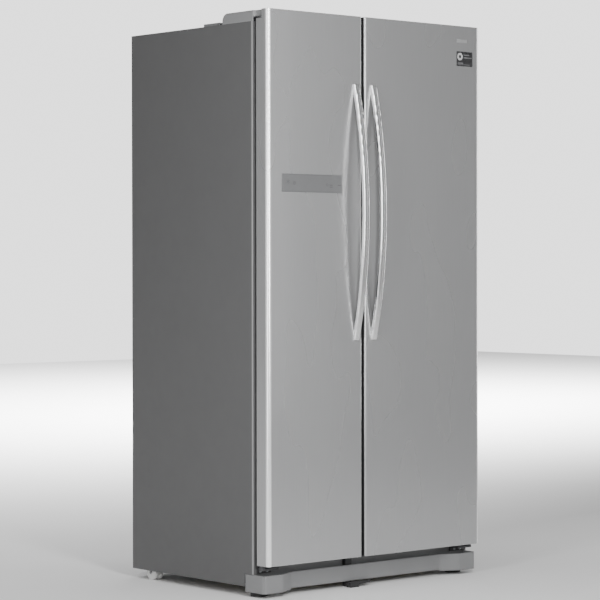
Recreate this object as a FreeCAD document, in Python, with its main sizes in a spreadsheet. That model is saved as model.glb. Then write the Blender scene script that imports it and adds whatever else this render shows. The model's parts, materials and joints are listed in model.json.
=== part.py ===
import FreeCAD, Part
import math
import os
import re
import Sketcher

# A side by side refrigerator: freezer on the left, fresh food on the right.
# Millimetres. X runs to the right, Y to the back, Z up. The origin is on the
# floor, under the middle of the whole appliance's box.

doc = FreeCAD.newDocument("side_by_side_refrigerator")

# ---------------------------------------------------------------- dimensions

SIZES = {
    # cabinet
    "cab_wide": 912,
    "cab_front": -247,
    "cab_back": 367,
    "cab_low": 30,
    "cab_top": 1755,
    "sheet_thick": 0.8,
    "flange_wide": 14,
    "insulation_low": 110,
    # storage compartments, inside faces
    "liner_thick": 2,
    "freezer_left": -398,
    "freezer_right": -95,
    "fridge_left": -35,
    "fridge_right": 408,
    "inner_low": 165,
    "freezer_high": 1690,
    "fridge_high": 1700,
    "inner_back": 303,
    "step_front": 130,
    "step_high": 350,
    "step_wall": 40,
    # doors
    "door_front": -314,
    "door_thick": 54,
    "door_low": 99,
    "door_high": 1789,
    "door_half": 454,
    "door_split": -62,
    "door_gap": 10,
    "hinged_edge_round": 14,
    "free_edge_round": 9,
    "lip_deep": 28,
    "lip_tall": 27,
    "cap_tall": 26,
    "door_liner_thick": 2,
    "dyke_inset_outer": 64,
    "dyke_inset_inner": 46,
    "dyke_wide": 14,
    "dyke_back": -196,
    "bin_back": -165,
    # hinges
    "pin_inset": 11,
    "pin_from_back": 12,
    "pin_round": 5,
    "pin_clearance": 0.05,
    # gasket
    "gasket_deep": 12.7,
    "gasket_wide": 14,
    "gasket_inset": 12,
    # bow handles
    "handle_low": 779,
    "handle_tall": 797,
    "handle_bow": 47,
    "handle_stand": 53,
    "handle_wide": 22,
    "handle_deep": 14,
    "handle_left": -94,
    "handle_right": -21,
    # shelves, drawers and door bins
    "glass_thick": 4,
    "shelf_front": -150,
    "freezer_shelf_back": 228,
    "fridge_shelf_back": 292,
    "drawer_front": -100,
    "drawer_wall": 3,
    "drawer_round": 12,
    "bin_wall": 3,
    # base
    "kick_low": 18,
    "kick_high": 69,
    "kick_front": -294,
    "kick_recess": -262,
    "kick_thick": 3,
    "kick_wrap_back": -204,
    "foot_round": 26,
    "foot_place": 417,
    "foot_back": -225,
    "roller_round": 24,
    "roller_wide": 30,
    "roller_back": 275,
}

sheet = doc.addObject("Spreadsheet::Sheet", "sizes")
for row, (alias, size) in enumerate(SIZES.items(), start=1):
    sheet.set(f"A{row}", alias)
    sheet.set(f"B{row}", str(size))
    sheet.setAlias(f"B{row}", alias)
desk = doc.addObject("Spreadsheet::Sheet", "desk")
doc.recompute()


# ------------------------------------------------------------------- helpers

def bound(formula):
    """A formula of plain aliases, with each alias pointed at the sheet."""
    return re.sub(r"\b([a-z]\w*)\b(?!\s*\()", r"sizes.\1", str(formula))


def number(formula):
    """What a formula comes to, worked out in a cell of a second sheet."""
    desk.set("A1", f"={bound(formula)}")
    desk.recompute()
    return float(desk.get("A1"))


def bind(item, prop, formula):
    item.setExpression(prop, bound(formula))


def span(one, other):
    """Two formulas in rising order."""
    return (one, other) if number(one) < number(other) else (other, one)


def mid(low, high):
    return f"(({low}) + ({high})) / 2"


def box(name, x, y, z):
    """A block between pairs of formulas."""
    block = doc.addObject("Part::Box", name)
    for prop, axis, (low, high) in (("Length", "x", x), ("Width", "y", y), ("Height", "z", z)):
        bind(block, prop, f"({high}) - ({low})")
        bind(block, f"Placement.Base.{axis}", low)
    return block


TURNS = {
    "x": FreeCAD.Rotation(FreeCAD.Vector(0, 1, 0), 90),
    "y": FreeCAD.Rotation(FreeCAD.Vector(1, 0, 0), -90),
    "z": FreeCAD.Rotation(),
}


def place(item, axis, start):
    item.Placement = FreeCAD.Placement(FreeCAD.Vector(), TURNS[axis])
    for letter, formula in zip("xyz", start):
        bind(item, f"Placement.Base.{letter}", formula)


def rod(name, axis, start, radius, length):
    """A round bar from start, along an axis."""
    bar = doc.addObject("Part::Cylinder", name)
    bind(bar, "Radius", radius)
    bind(bar, "Height", length)
    place(bar, axis, start)
    return bar


def taper(name, axis, start, radius_start, radius_end, length):
    cone = doc.addObject("Part::Cone", name)
    bind(cone, "Radius1", radius_start)
    bind(cone, "Radius2", radius_end)
    bind(cone, "Height", length)
    place(cone, axis, start)
    return cone


def join(name, *pieces):
    """One node of the pieces: fused where they meet, apart where they don't."""
    if len(pieces) == 1:
        return pieces[0]
    union = doc.addObject("Part::MultiFuse", name)
    union.Shapes = list(pieces)
    union.Refine = True
    return union


def group(name, *pieces):
    """One node of separate solids, which may touch face to face."""
    holder = doc.addObject("Part::Compound", name)
    holder.Links = list(pieces)
    return holder


def cut(name, base, *tools):
    piece = doc.addObject("Part::Cut", name)
    piece.Base = base
    piece.Tool = join(name + "_tools", *tools)
    piece.Refine = True
    return piece


def body_at(name, x="0", y="0", z="0"):
    body = doc.addObject("PartDesign::Body", name)
    for letter, formula in zip("xyz", (x, y, z)):
        bind(body, f"Placement.Base.{letter}", formula)
    return body


def outline(body, plane, points, offset="0"):
    """A sketch of straight edges, with every corner bound to two formulas."""
    base = [item for item in body.Origin.OriginFeatures if item.Role == plane][0]
    sketch = body.newObject("Sketcher::SketchObject", f"{body.Name}_outline")
    sketch.AttachmentSupport = (base, [""])
    sketch.MapMode = "FlatFace"
    bind(sketch, "AttachmentOffset.Base.z", offset)
    corners = [FreeCAD.Vector(number(x), number(y), 0) for x, y in points]
    count = len(points)
    for index in range(count):
        sketch.addGeometry(Part.LineSegment(corners[index], corners[(index + 1) % count]))
    for index in range(count):
        sketch.addConstraint(Sketcher.Constraint("Coincident", index, 2, (index + 1) % count, 1))
    for index, pair in enumerate(points):
        for kind, formula in zip(("DistanceX", "DistanceY"), pair):
            rule = Sketcher.Constraint(kind, -1, 1, index, 1, number(formula))
            slot = sketch.addConstraint(rule)
            sketch.setExpression(f"Constraints[{slot}]", bound(formula))
    return sketch


def rectangle(x, y):
    return [(x[0], y[0]), (x[1], y[0]), (x[1], y[1]), (x[0], y[1])]


def pad(body, sketch, length, backwards=False):
    feature = body.newObject("PartDesign::Pad", f"{body.Name}_pad")
    feature.Profile = sketch
    feature.Reversed = backwards
    bind(feature, "Length", length)
    doc.recompute()
    return feature


def pocket(body, sketch, depth, backwards=False):
    """A cut into the body, checked to have removed something."""
    before = body.Shape.Volume
    feature = body.newObject("PartDesign::Pocket", f"{body.Name}_pocket")
    feature.Profile = sketch
    feature.Reversed = backwards
    bind(feature, "Length", depth)
    doc.recompute()
    if body.Shape.Volume > before - 1e-3:
        raise ValueError(f"{body.Name}: a pocket cuts nothing")
    return feature


def rounded(body, radius, test):
    """Fillet the tip's edges whose bounding boxes pass a test."""
    tip = body.Tip
    names = [f"Edge{n}" for n, edge in enumerate(tip.Shape.Edges, start=1) if test(edge.BoundBox)]
    if not names:
        raise ValueError(f"{body.Name}: no edge to round")
    feature = body.newObject("PartDesign::Fillet", f"{body.Name}_fillet")
    feature.Base = (tip, names)
    bind(feature, "Radius", radius)
    doc.recompute()
    return feature


def is_near(value, *targets):
    return any(abs(value - target) < 0.05 for target in targets)


def is_upright(bounds):
    return bounds.XLength < 0.01 and bounds.YLength < 0.01


NODES = []


def keep(item, label):
    """Name a finished sub-part."""
    item.Label = label
    NODES.append(item)
    return item


def tray(name, x, y, z, wall, corner):
    """An open-topped box with rounded upright corners."""
    body = body_at(name, x[0], y[0], z[0])
    wide, deep, tall = (f"(({high}) - ({low}))" for low, high in (x, y, z))
    pad(body, outline(body, "XY_Plane", rectangle(("0", wide), ("0", deep))), tall)
    inner = rectangle((wall, f"{wide} - {wall}"), (wall, f"{deep} - {wall}"))
    pocket(body, outline(body, "XY_Plane", inner, wall), tall, backwards=True)
    sides = (0, number(wide))
    rounded(body, f"{corner} - {wall}", lambda b: is_upright(b) and not is_near(b.XMin, *sides))
    rounded(body, corner, lambda b: is_upright(b) and is_near(b.XMin, *sides))
    return body


HALF = "cab_wide / 2"
SIDES = {"left": -1, "right": 1}
FOAM_FRONT = "cab_front + sheet_thick"
FOAM_BACK = "cab_back - 2 * sheet_thick"
ROOF = "cab_top - sheet_thick"
MACHINE_ROOF = "step_high - 48"
DOOR_BACK = "door_front + door_thick"
PIN_Y = "door_front + door_thick - pin_from_back"
DOORS = {
    "freezer": {"side": -1, "outer": "-door_half", "inner": "door_split - door_gap / 2",
                "handle": "handle_left"},
    "fridge": {"side": 1, "outer": "door_half", "inner": "door_split + door_gap / 2",
               "handle": "handle_right"},
}


def from_outer(door, distance):
    """X of a line that lies a distance in from the door's hinged edge."""
    sign = "-" if DOORS[door]["side"] > 0 else "+"
    return f"{DOORS[door]['outer']} {sign} ({distance})"


def from_inner(door, distance):
    """X of a line that lies a distance in from the door's free edge."""
    sign = "+" if DOORS[door]["side"] > 0 else "-"
    return f"{DOORS[door]['inner']} {sign} ({distance})"


# ------------------------------------------------------------ cabinet shell

def side_panel(name, side):
    """A tall sheet with a flange turned in at the front and at the back."""
    body = body_at(name, z="cab_low")
    half = f"{side} * ({HALF})"
    flange = f"{side} * ({HALF} - flange_wide)"
    inside = f"{side} * ({HALF} - sheet_thick)"
    points = [
        (half, "cab_front"), (flange, "cab_front"), (flange, FOAM_FRONT), (inside, FOAM_FRONT),
        (inside, "cab_back - sheet_thick"), (flange, "cab_back - sheet_thick"),
        (flange, "cab_back"), (half, "cab_back"),
    ]
    pad(body, outline(body, "XY_Plane", points), "cab_top - cab_low")
    notch = rectangle(("cab_front - 1", "kick_wrap_back + 0.5"), (-1, "kick_high + 1 - cab_low"))
    pocket(body, outline(body, "YZ_Plane", notch, f"-{HALF} - 1"), f"{HALF} * 2 + 2",
           backwards=True)
    return keep(body, name)


def top_panel():
    flange_tall = 30
    across = (f"-({HALF} - sheet_thick)", f"{HALF} - sheet_thick")
    flange_across = (f"-({HALF} - flange_wide)", f"{HALF} - flange_wide")
    roof = box("top_sheet", across, (FOAM_FRONT, "cab_back - sheet_thick"), (ROOF, "cab_top"))
    flange = box("top_flange", flange_across, ("cab_front", FOAM_FRONT),
                 (f"cab_top - {flange_tall}", "cab_top"))
    return keep(join("top_pressing", roof, flange), "top_panel")


def back_panel():
    across = (f"-({HALF} - sheet_thick)", f"{HALF} - sheet_thick")
    sheet_back = box("back_sheet", across, (FOAM_BACK, "cab_back - sheet_thick"),
                     (MACHINE_ROOF, ROOF))
    return keep(sheet_back, "back_panel")


def insulation_panels():
    """Foam slabs between the liners and the outer sheets."""
    half = f"{HALF} - sheet_thick"
    thick = "liner_thick"
    deep = (FOAM_FRONT, FOAM_BACK)
    low = "insulation_low"
    left = ("freezer_left - liner_thick", "freezer_right + liner_thick")
    right = ("fridge_left - liner_thick", "fridge_right + liner_thick")
    across = (left[0], right[1])
    under_step = f"step_high - {thick}"
    slabs = [
        box("foam_left", (f"-({half})", left[0]), deep, (low, ROOF)),
        box("foam_right", (right[1], half), deep, (low, ROOF)),
        box("foam_divider", (left[1], right[0]), (FOAM_FRONT, f"inner_back + {thick}"),
            ("step_high", ROOF)),
        box("foam_divider_low", (left[1], right[0]), (FOAM_FRONT, f"step_front + {thick}"),
            (f"inner_low - {thick}", "step_high")),
        box("foam_freezer_roof", left, (FOAM_FRONT, f"inner_back + {thick}"),
            (f"freezer_high + {thick}", ROOF)),
        box("foam_fridge_roof", right, (FOAM_FRONT, f"inner_back + {thick}"),
            (f"fridge_high + {thick}", ROOF)),
        box("foam_back", across, (f"inner_back + {thick}", FOAM_BACK), (under_step, ROOF)),
        box("foam_floor", across, (FOAM_FRONT, f"step_front + {thick}"),
            (low, f"inner_low - {thick}")),
        box("foam_step_front", across, (f"step_front + {thick}", "step_front + step_wall"),
            (low, under_step)),
        box("foam_step_top", across, ("step_front + step_wall", FOAM_BACK),
            (MACHINE_ROOF, under_step)),
    ]
    return keep(group("insulation_slabs", *slabs), "insulation_panels")


def liner(name, x, high, back, shelf_heights, runner_heights):
    """An open-fronted plastic box with a step at its foot, and ledges on its walls."""
    thick = "liner_thick"
    outer_x = (f"{x[0]} - {thick}", f"{x[1]} + {thick}")
    outer_low = box(f"{name}_outer_low", outer_x, (FOAM_FRONT, f"step_front + {thick}"),
                    (f"inner_low - {thick}", f"{high} + {thick}"))
    outer_high = box(f"{name}_outer_high", outer_x, (FOAM_FRONT, f"inner_back + {thick}"),
                     (f"step_high - {thick}", f"{high} + {thick}"))
    open_front = f"cab_front - {thick}"
    hollow_low = box(f"{name}_hollow_low", x, (open_front, "step_front"), ("inner_low", high))
    hollow_high = box(f"{name}_hollow_high", x, (open_front, "inner_back"), ("step_high", high))
    shell = cut(f"{name}_shell", join(f"{name}_outer", outer_low, outer_high),
                hollow_low, hollow_high)
    ledges = []
    ledge_wide, ledge_tall, slack = 8, 9, 0.3
    walls = {"left": (x[0], f"{x[0]} + {ledge_wide}"),
             "right": (f"{x[1]} - {ledge_wide}", x[1])}
    for wall, across in walls.items():
        for height in shelf_heights:
            ledges.append(box(f"{name}_ledge_{wall}_{height}", across,
                              ("shelf_front + 6", f"{back} - 4"),
                              (height - ledge_tall, height)))
        for height in runner_heights:
            ledges.append(box(f"{name}_runner_{wall}_{height}", across,
                              ("drawer_front", f"{back} - 4"),
                              (height - ledge_tall, f"{height} - {slack}")))
    return keep(join(f"{name}_moulding", shell, *ledges), name)


def front_frame():
    """Painted strips round the two mouths, which the door gaskets close on."""
    half = f"{HALF} - flange_wide"
    thin = ("cab_front", FOAM_FRONT)
    low, top = "door_low", "cab_top - 30"
    strips = [
        box("frame_low", (f"-({half})", half), thin, (low, "inner_low")),
        box("frame_left", (f"-({half})", "freezer_left"), thin, ("inner_low", top)),
        box("frame_right", ("fridge_right", half), thin, ("inner_low", top)),
        box("frame_divider", ("freezer_right", "fridge_left"), thin, ("inner_low", top)),
        box("frame_top_left", ("freezer_left", "freezer_right"), thin, ("freezer_high", top)),
        box("frame_top_right", ("fridge_left", "fridge_right"), thin, ("fridge_high", top)),
    ]
    return keep(group("frame_strips", *strips), "front_frame")


# -------------------------------------------------------------------- base

RAIL_IN, RAIL_OUT = 390, 415
RAIL_FRONT, RAIL_FRONT_BACK = -240, -200
RAIL_LOW = 60
FOOT_STEM = 6
ROLLER_AXLE = 4
TRAY_TOP = 36


def base_frame():
    """Front rail, two side rails, the machine tray and the rollers' axles."""
    half = f"{HALF} - sheet_thick"
    rail_half = "door_half - kick_thick - 1"
    hole_deep = 45
    rail = box("front_rail_bar", (f"-({rail_half})", rail_half), (RAIL_FRONT, RAIL_FRONT_BACK),
               (RAIL_LOW, "insulation_low"))
    holes = [rod(f"stem_hole_{name}", "z", (f"{side} * foot_place", "foot_back", RAIL_LOW - 5),
                 f"{FOOT_STEM} + pin_clearance", hole_deep) for name, side in SIDES.items()]
    pieces = [cut("front_rail", rail, *holes)]
    for name, side in SIDES.items():
        x = span(f"{side} * {RAIL_IN}", f"{side} * {RAIL_OUT}")
        pieces.append(box(f"side_rail_{name}", x, (RAIL_FRONT_BACK, FOAM_BACK),
                          ("cab_low + 1", "insulation_low")))
        start = RAIL_OUT if side > 0 else f"-({half})"
        pieces.append(rod(f"roller_axle_{name}", "x", (start, "roller_back", "roller_round"),
                          ROLLER_AXLE, f"{half} - {RAIL_OUT}"))
    pieces.append(box("machine_tray", (-RAIL_IN, RAIL_IN), ("step_front + step_wall", FOAM_BACK),
                      (TRAY_TOP - 2, TRAY_TOP)))
    return keep(group("base_parts", *pieces), "base_frame")


def kick_plate():
    """A plastic skirt with proud ends that curve back to a set-back middle."""
    half = "door_half"
    inner = f"({half} - kick_thick)"
    wrap_back = "kick_wrap_back"
    end_wide, slope = 75, 60
    proud = f"{half} - {end_wide}"
    recessed = f"{half} - {end_wide} - {slope}"
    thick = "kick_thick"
    points = [
        (f"-{half}", wrap_back), (f"-{half}", "kick_front"), (f"-({proud})", "kick_front"),
        (f"-({recessed})", "kick_recess"), (recessed, "kick_recess"), (proud, "kick_front"),
        (half, "kick_front"), (half, wrap_back), (inner, wrap_back),
        (inner, f"kick_front + {thick}"), (f"{proud} + 1", f"kick_front + {thick}"),
        (f"{recessed} + 1", f"kick_recess + {thick}"),
        (f"-({recessed} + 1)", f"kick_recess + {thick}"),
        (f"-({proud} + 1)", f"kick_front + {thick}"), (f"-{inner}", f"kick_front + {thick}"),
        (f"-{inner}", wrap_back),
    ]
    end_drop, bend_round, corner_round = 4, 40, 10
    body = body_at("kick_skirt", z=f"kick_low - {end_drop}")
    pad(body, outline(body, "XY_Plane", points), f"kick_high - kick_low + {end_drop}")
    bends = [number(line) + shift for line in (proud, recessed) for shift in (0, 1)]
    rounded(body, bend_round, lambda b: is_upright(b) and is_near(abs(b.XMin), *bends))
    corners = number(half)
    rounded(body, corner_round, lambda b: is_upright(b) and is_near(abs(b.XMin), corners)
            and is_near(b.YMin, number("kick_front")))
    relief = rectangle((f"-({recessed})", recessed), (0, end_drop))
    pocket(body, outline(body, "XZ_Plane", relief, "6 - kick_front"), 90)
    clips = [box(f"kick_clip_{name}", span(f"{side} * 296", f"{side} * 304"),
                 ("kick_recess + 2", RAIL_FRONT), (61, 67)) for name, side in SIDES.items()]
    return keep(join("kick_moulding", body, *clips), "kick_plate")


def centre_foot():
    """A wedge-shaped support under the middle of the skirt, hung from the front rail."""
    low_x, high_x = (-90, -55), (-92, -3)
    y = (-284, -264)
    flare_low, flare_high = 6, 13
    body = body_at("centre_wedge", y=y[1])
    points = [(low_x[0], 0), (low_x[1], 0), (low_x[1], flare_low), (high_x[1], flare_high),
              (high_x[1], 16), (high_x[0], 16), (high_x[0], flare_high)]
    pad(body, outline(body, "XZ_Plane", points), y[1] - y[0])
    shank = box("centre_shank", (-86, -60), (y[1], -246), (4, 14))
    post = box("centre_post", (-86, -60), (-254, RAIL_FRONT), (4, 96))
    return keep(join("centre_support", body, shank, post), "centre_foot")


def levelling_foot(name, side):
    """A rubber-soled foot with a threaded stem."""
    x = f"{side} * foot_place"
    sole = rod(f"{name}_sole", "z", (x, "foot_back", 0), "foot_round", 12)
    shoulder = taper(f"{name}_shoulder", "z", (x, "foot_back", 12), "foot_round", 14, 8)
    stem = rod(f"{name}_stem", "z", (x, "foot_back", 20), FOOT_STEM, 75)
    return keep(join(f"{name}_turned", sole, shoulder, stem), name)


def rear_roller(name, side):
    """A wheel with a waisted rim on a fixed axle."""
    middle = number(f"({HALF} + {RAIL_OUT}) / 2")
    wide = number("roller_wide")
    start = (side * middle - wide / 2, "roller_back", "roller_round")
    wheel = rod(f"{name}_wheel", "x", start, "roller_round", "roller_wide")
    bore = rod(f"{name}_bore", "x", (start[0] - 1, *start[1:]), f"{ROLLER_AXLE} + pin_clearance",
               "roller_wide + 2")
    groove = cut(f"{name}_groove",
                 rod(f"{name}_groove_out", "x", (start[0] + 10, *start[1:]),
                     "roller_round + 1", 10),
                 rod(f"{name}_groove_in", "x", (start[0] + 9, *start[1:]),
                     "roller_round - 2", 12))
    return keep(cut(f"{name}_turned", wheel, bore, groove), name)


# ----------------------------------------------------------------- hinges

HINGE_PLATE = 4
HINGE_TOP_LOW = 1764
NOSE_ROUND = 10


def top_hinge(name, side):
    """A plate on the cabinet's roof that steps up over the door, with its pin."""
    door = "freezer" if side < 0 else "fridge"
    pin = from_outer(door, "pin_inset")
    edge = f"{side} * ({HALF} - 10)"
    inside = f"{side} * ({HALF} - 80)"
    neck = f"{side} * ({HALF} - 48)"
    riser_y, plate_back = (-243, -235), -150
    pin_foot = "door_high - lip_tall - cap_tall + 4"
    bolt_round, bolt_tall = 6, 5
    on_roof = box(f"{name}_roof_plate", span(edge, inside), (riser_y[0], plate_back),
                  ("cab_top", f"cab_top + {HINGE_PLATE}"))
    riser = box(f"{name}_riser", span(edge, inside), riser_y,
                ("cab_top", HINGE_TOP_LOW + HINGE_PLATE))
    arm = box(f"{name}_arm", span(pin, neck), (f"{PIN_Y} - {NOSE_ROUND}", riser_y[1]),
              (HINGE_TOP_LOW, HINGE_TOP_LOW + HINGE_PLATE))
    nose = rod(f"{name}_nose", "z", (pin, PIN_Y, HINGE_TOP_LOW), NOSE_ROUND, HINGE_PLATE)
    shaft = rod(f"{name}_pin", "z", (pin, PIN_Y, pin_foot), "pin_round",
                f"{HINGE_TOP_LOW} - ({pin_foot})")
    bolts = [rod(f"{name}_bolt_{n}", "z",
                 (f"{side} * ({HALF} - {inset})", y, f"cab_top + {HINGE_PLATE}"),
                 bolt_round, bolt_tall)
             for n, (inset, y) in enumerate(((24, -215), (66, -215), (45, -172)))]
    return keep(join(f"{name}_welded", on_roof, riser, arm, nose, shaft, *bolts), name)


def bottom_hinge(name, side):
    """A bracket on the front rail that carries the door on its pin."""
    door = "freezer" if side < 0 else "fridge"
    pin = from_outer(door, "pin_inset")
    edge = f"{side} * ({HALF} - 3)"
    inside = f"{side} * ({HALF} - 70)"
    shelf_low, shelf_high = 84, 90
    upright_front, washer_round, pin_tall = -246, 9, 28
    upright = box(f"{name}_upright", span(edge, inside), (upright_front, RAIL_FRONT), (72, 98))
    clear = f"{side} * ({HALF} - flange_wide - 1)"
    shelf = box(f"{name}_shelf", span(clear, inside), (f"{PIN_Y} - {NOSE_ROUND}", upright_front),
                (shelf_low, shelf_high))
    nose = rod(f"{name}_nose", "z", (pin, PIN_Y, shelf_low), NOSE_ROUND, shelf_high - shelf_low)
    washer = rod(f"{name}_washer", "z", (pin, PIN_Y, shelf_high), washer_round,
                 f"door_low - 0.3 - {shelf_high}")
    shaft = rod(f"{name}_pin", "z", (pin, PIN_Y, shelf_high), "pin_round", pin_tall)
    return keep(join(f"{name}_welded", upright, shelf, nose, washer, shaft), name)


def hinge_cover(name, side):
    """A moulded cover over the top hinge, narrower where it reaches over the door."""
    wide, wall, cover_back, rear_front, step_back = 100, 3, -99, -251, -247
    front = f"{PIN_Y} - 13"
    top = "door_high - 1"
    neck = f"{side} * ({HALF} - 8)"
    outer = f"{side} * ({HALF})"
    inside = f"{side} * ({HALF} - {wide})"
    points = [
        (outer, rear_front), (neck, rear_front), (neck, front), (inside, front),
        (inside, cover_back), (outer, cover_back),
    ]
    body = body_at(f"{name}_shell", z="cab_top")
    pad(body, outline(body, "XY_Plane", points), f"{top} - cab_top")
    tall = number(f"{top} - cab_top")
    rounded(body, 24, lambda b: is_near(b.YMin, cover_back) and b.YLength < 0.01
            and is_near(b.ZMin, tall) and b.ZLength < 0.01)
    front_y, outer_x = number(front), number(outer)
    rounded(body, 6, lambda b: is_upright(b) and (
        is_near(b.YMin, front_y) or (is_near(b.YMin, rear_front) and is_near(b.XMin, outer_x))))
    rounded(body, 2, lambda b: is_near(b.ZMin, tall) and b.ZLength < 0.01)
    outer_wall, inner_wall, neck_wall = (f"{outer} - ({side} * {wall})",
                                         f"{inside} + ({side} * {wall})",
                                         f"{neck} - ({side} * {wall})")
    room = 25
    under = rectangle(span(outer_wall, inner_wall), (step_back - 1, cover_back - 13))
    pocket(body, outline(body, "XY_Plane", under), room, backwards=True)
    over_door = rectangle(span(f"{outer} + ({side} * {wall})", f"{inside} - ({side} * {wall})"),
                          (f"{front} - {wall}", step_back))
    pocket(body, outline(body, "XY_Plane", over_door),
           f"{HINGE_TOP_LOW} + {HINGE_PLATE} + 0.5 - cab_top", backwards=True)
    arm_room = rectangle(span(neck_wall, inner_wall), (f"{front} + 2", step_back - 0.5))
    pocket(body, outline(body, "XY_Plane", arm_room), room, backwards=True)
    return keep(body, name)


def harness_cover():
    """A low duct on the roof over the wiring, behind the left hinge cover."""
    duct = box("harness_duct", (f"-({HALF} - 12)", f"-({HALF} - 74)"), (-70, 6),
               ("cab_top", "cab_top + 10"))
    tail = box("harness_tail", (f"-({HALF} - 24)", f"-({HALF} - 52)"), (-99, -70),
               ("cab_top", "cab_top + 7"))
    return keep(join("harness_moulding", duct, tail), "harness_cover")


# ------------------------------------------------------------------- doors

def round_corners(body, door, front, sheet):
    """Round the door's two upright front corners, less for a layer inside the sheet."""
    half_way = number(mid(DOORS[door]["outer"], DOORS[door]["inner"]))
    front_y, side = number(front), DOORS[door]["side"]
    for radius, sign in (("hinged_edge_round", side), ("free_edge_round", -side)):
        rounded(body, f"{radius} - {sheet}", lambda b: is_upright(b)
                and is_near(b.YMin, front_y) and (b.XMin - half_way) * sign > 0)


def door_skin(name, door):
    """A folded steel sheet: the front and both edges, rounded where they meet."""
    body = body_at(f"{name}_fold", z="door_low")
    left, right = span(DOORS[door]["outer"], DOORS[door]["inner"])
    thin = "sheet_thick"
    points = [
        (left, DOOR_BACK), (left, "door_front"), (right, "door_front"), (right, DOOR_BACK),
        (f"{right} - {thin}", DOOR_BACK), (f"{right} - {thin}", f"door_front + {thin}"),
        (f"{left} + {thin}", f"door_front + {thin}"), (f"{left} + {thin}", DOOR_BACK),
    ]
    pad(body, outline(body, "XY_Plane", points), "door_high - door_low")
    round_corners(body, door, f"door_front + {thin}", thin)
    round_corners(body, door, "door_front", "0")
    notch = rectangle(("door_front + lip_deep", f"{DOOR_BACK} + 1"),
                      ("door_high - door_low - lip_tall", "door_high - door_low + 1"))
    pocket(body, outline(body, "YZ_Plane", notch, f"{left} - 1"),
           f"{right} - ({left}) + 2", backwards=True)
    return keep(body, name)


def cap_block(name, door, z):
    """A block that fills the skin's rounded plan between two heights."""
    thin = "sheet_thick"
    left, right = span(DOORS[door]["outer"], DOORS[door]["inner"])
    body = body_at(name, z=z[0])
    plan = rectangle((f"{left} + {thin}", f"{right} - {thin}"),
                     (f"door_front + {thin}", DOOR_BACK))
    pad(body, outline(body, "XY_Plane", plan), f"({z[1]}) - ({z[0]})")
    round_corners(body, door, f"door_front + {thin}", thin)
    return body


def door_caps(name, door):
    """Moulded end caps that close the door's top and bottom and hold its bushes."""
    pin = from_outer(door, "pin_inset")
    thin = "sheet_thick"
    across = tuple(f"{edge} {shift}" for edge, shift in
                   zip(span(DOORS[door]["outer"], DOORS[door]["inner"]), ("- 1", "+ 1")))
    ledge = "door_high - lip_tall"
    top = cap_block(f"{name}_top_block", door, (f"{ledge} - cap_tall", "door_high - 0.6"))
    recess = box(f"{name}_recess", across, ("door_front + lip_deep", f"{DOOR_BACK} + 1"),
                 (ledge, "door_high + 1"))
    bush = "pin_round + pin_clearance"
    top_bore = rod(f"{name}_top_bore", "z", (pin, PIN_Y, f"{ledge} - cap_tall + 3"), bush,
                   "cap_tall")
    bottom = cap_block(f"{name}_bottom_block", door, ("door_low", "door_low + cap_tall"))
    bottom_bore = rod(f"{name}_bottom_bore", "z", (pin, PIN_Y, "door_low - 1"), bush,
                      "cap_tall - 3")
    return keep(group(f"{name}_pair", cut(f"{name}_top", top, recess, top_bore),
                      cut(f"{name}_bottom", bottom, bottom_bore)), name)


def door_core(name, door):
    """The foam slab inside the door."""
    core = cap_block(f"{name}_slab", door, ("door_low + cap_tall",
                                            "door_high - lip_tall - cap_tall"))
    across = tuple(f"{edge} {shift}" for edge, shift in
                   zip(span(DOORS[door]["outer"], DOORS[door]["inner"]), ("- 1", "+ 1")))
    shave = box(f"{name}_shave", across, (f"{DOOR_BACK} - door_liner_thick", f"{DOOR_BACK} + 1"),
                ("door_low", "door_high"))
    return keep(cut(f"{name}_cast", core, shave), name)


def border(name, x, y, z, wide):
    """Four bars round an upright rectangle."""
    between = (f"{x[0]} + {wide}", f"{x[1]} - {wide}")
    return [box(f"{name}_left", (x[0], between[0]), y, z),
            box(f"{name}_right", (between[1], x[1]), y, z),
            box(f"{name}_low", between, y, (z[0], f"{z[0]} + {wide}")),
            box(f"{name}_top", between, y, (f"{z[1]} - {wide}", z[1]))]


def door_liner(name, door):
    """The door's inner face: a sheet, and four bars that reach into the cabinet."""
    thin = "sheet_thick"
    left, right = span(DOORS[door]["outer"], DOORS[door]["inner"])
    low, high = "door_low + cap_tall", "door_high - lip_tall - cap_tall"
    plate = box(f"{name}_plate", (f"{left} + {thin}", f"{right} - {thin}"),
                (f"{DOOR_BACK} - door_liner_thick", DOOR_BACK), (low, high))
    x = span(from_outer(door, "dyke_inset_outer"), from_inner(door, "dyke_inset_inner"))
    z = ("inner_low + 20", "freezer_high - 22")
    y = (DOOR_BACK, "dyke_back")
    return keep(group(f"{name}_parts", plate, *border(name, x, y, z, "dyke_wide")), name)


def door_gasket(name, door):
    """A seal round the door's inner face."""
    x = span(from_outer(door, "gasket_inset"), from_inner(door, "gasket_inset"))
    z = ("door_low + 30", "cab_top - 31")
    y = (DOOR_BACK, f"{DOOR_BACK} + gasket_deep")
    return keep(group(f"{name}_strips", *border(name, x, y, z, "gasket_wide")), name)


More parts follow.
